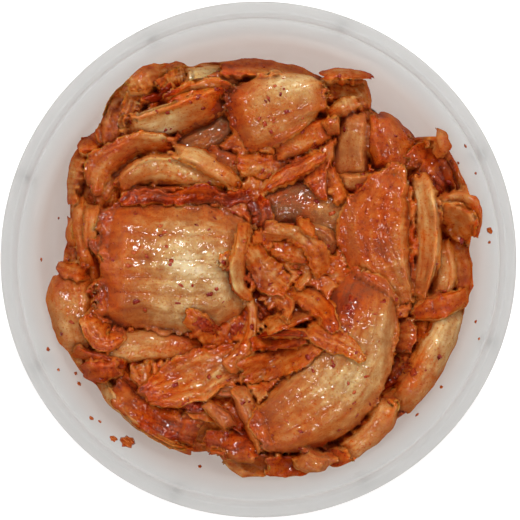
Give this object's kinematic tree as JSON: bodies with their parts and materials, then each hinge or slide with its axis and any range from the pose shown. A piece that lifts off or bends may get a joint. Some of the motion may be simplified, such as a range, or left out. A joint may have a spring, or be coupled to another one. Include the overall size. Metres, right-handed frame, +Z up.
{
  "type": "kimchi in a round tub",
  "caption": "Cut cabbage kimchi heaped in a round, slightly tapered, translucent plastic tub with a rolled rim and lid groove.",
  "frame": {"origin": "centre of the tub's underside, on the surface that it stands on", "axes": "+Z up along the tub's axis; +X and +Y across the tub, the big ribbed stem lying towards -X and the large front stem towards -Y"},
  "size_m": [0.15, 0.15, 0.066],
  "materials": {
    "tub_plastic": "milky translucent polypropylene, smooth",
    "kimchi_food": "wet, glossy, orange-red cabbage with pale yellow stems"
  },
  "bodies": {
    "root": {"tub": "tub_plastic", "kimchi": "kimchi_food"}
  },
  "joints": []
}
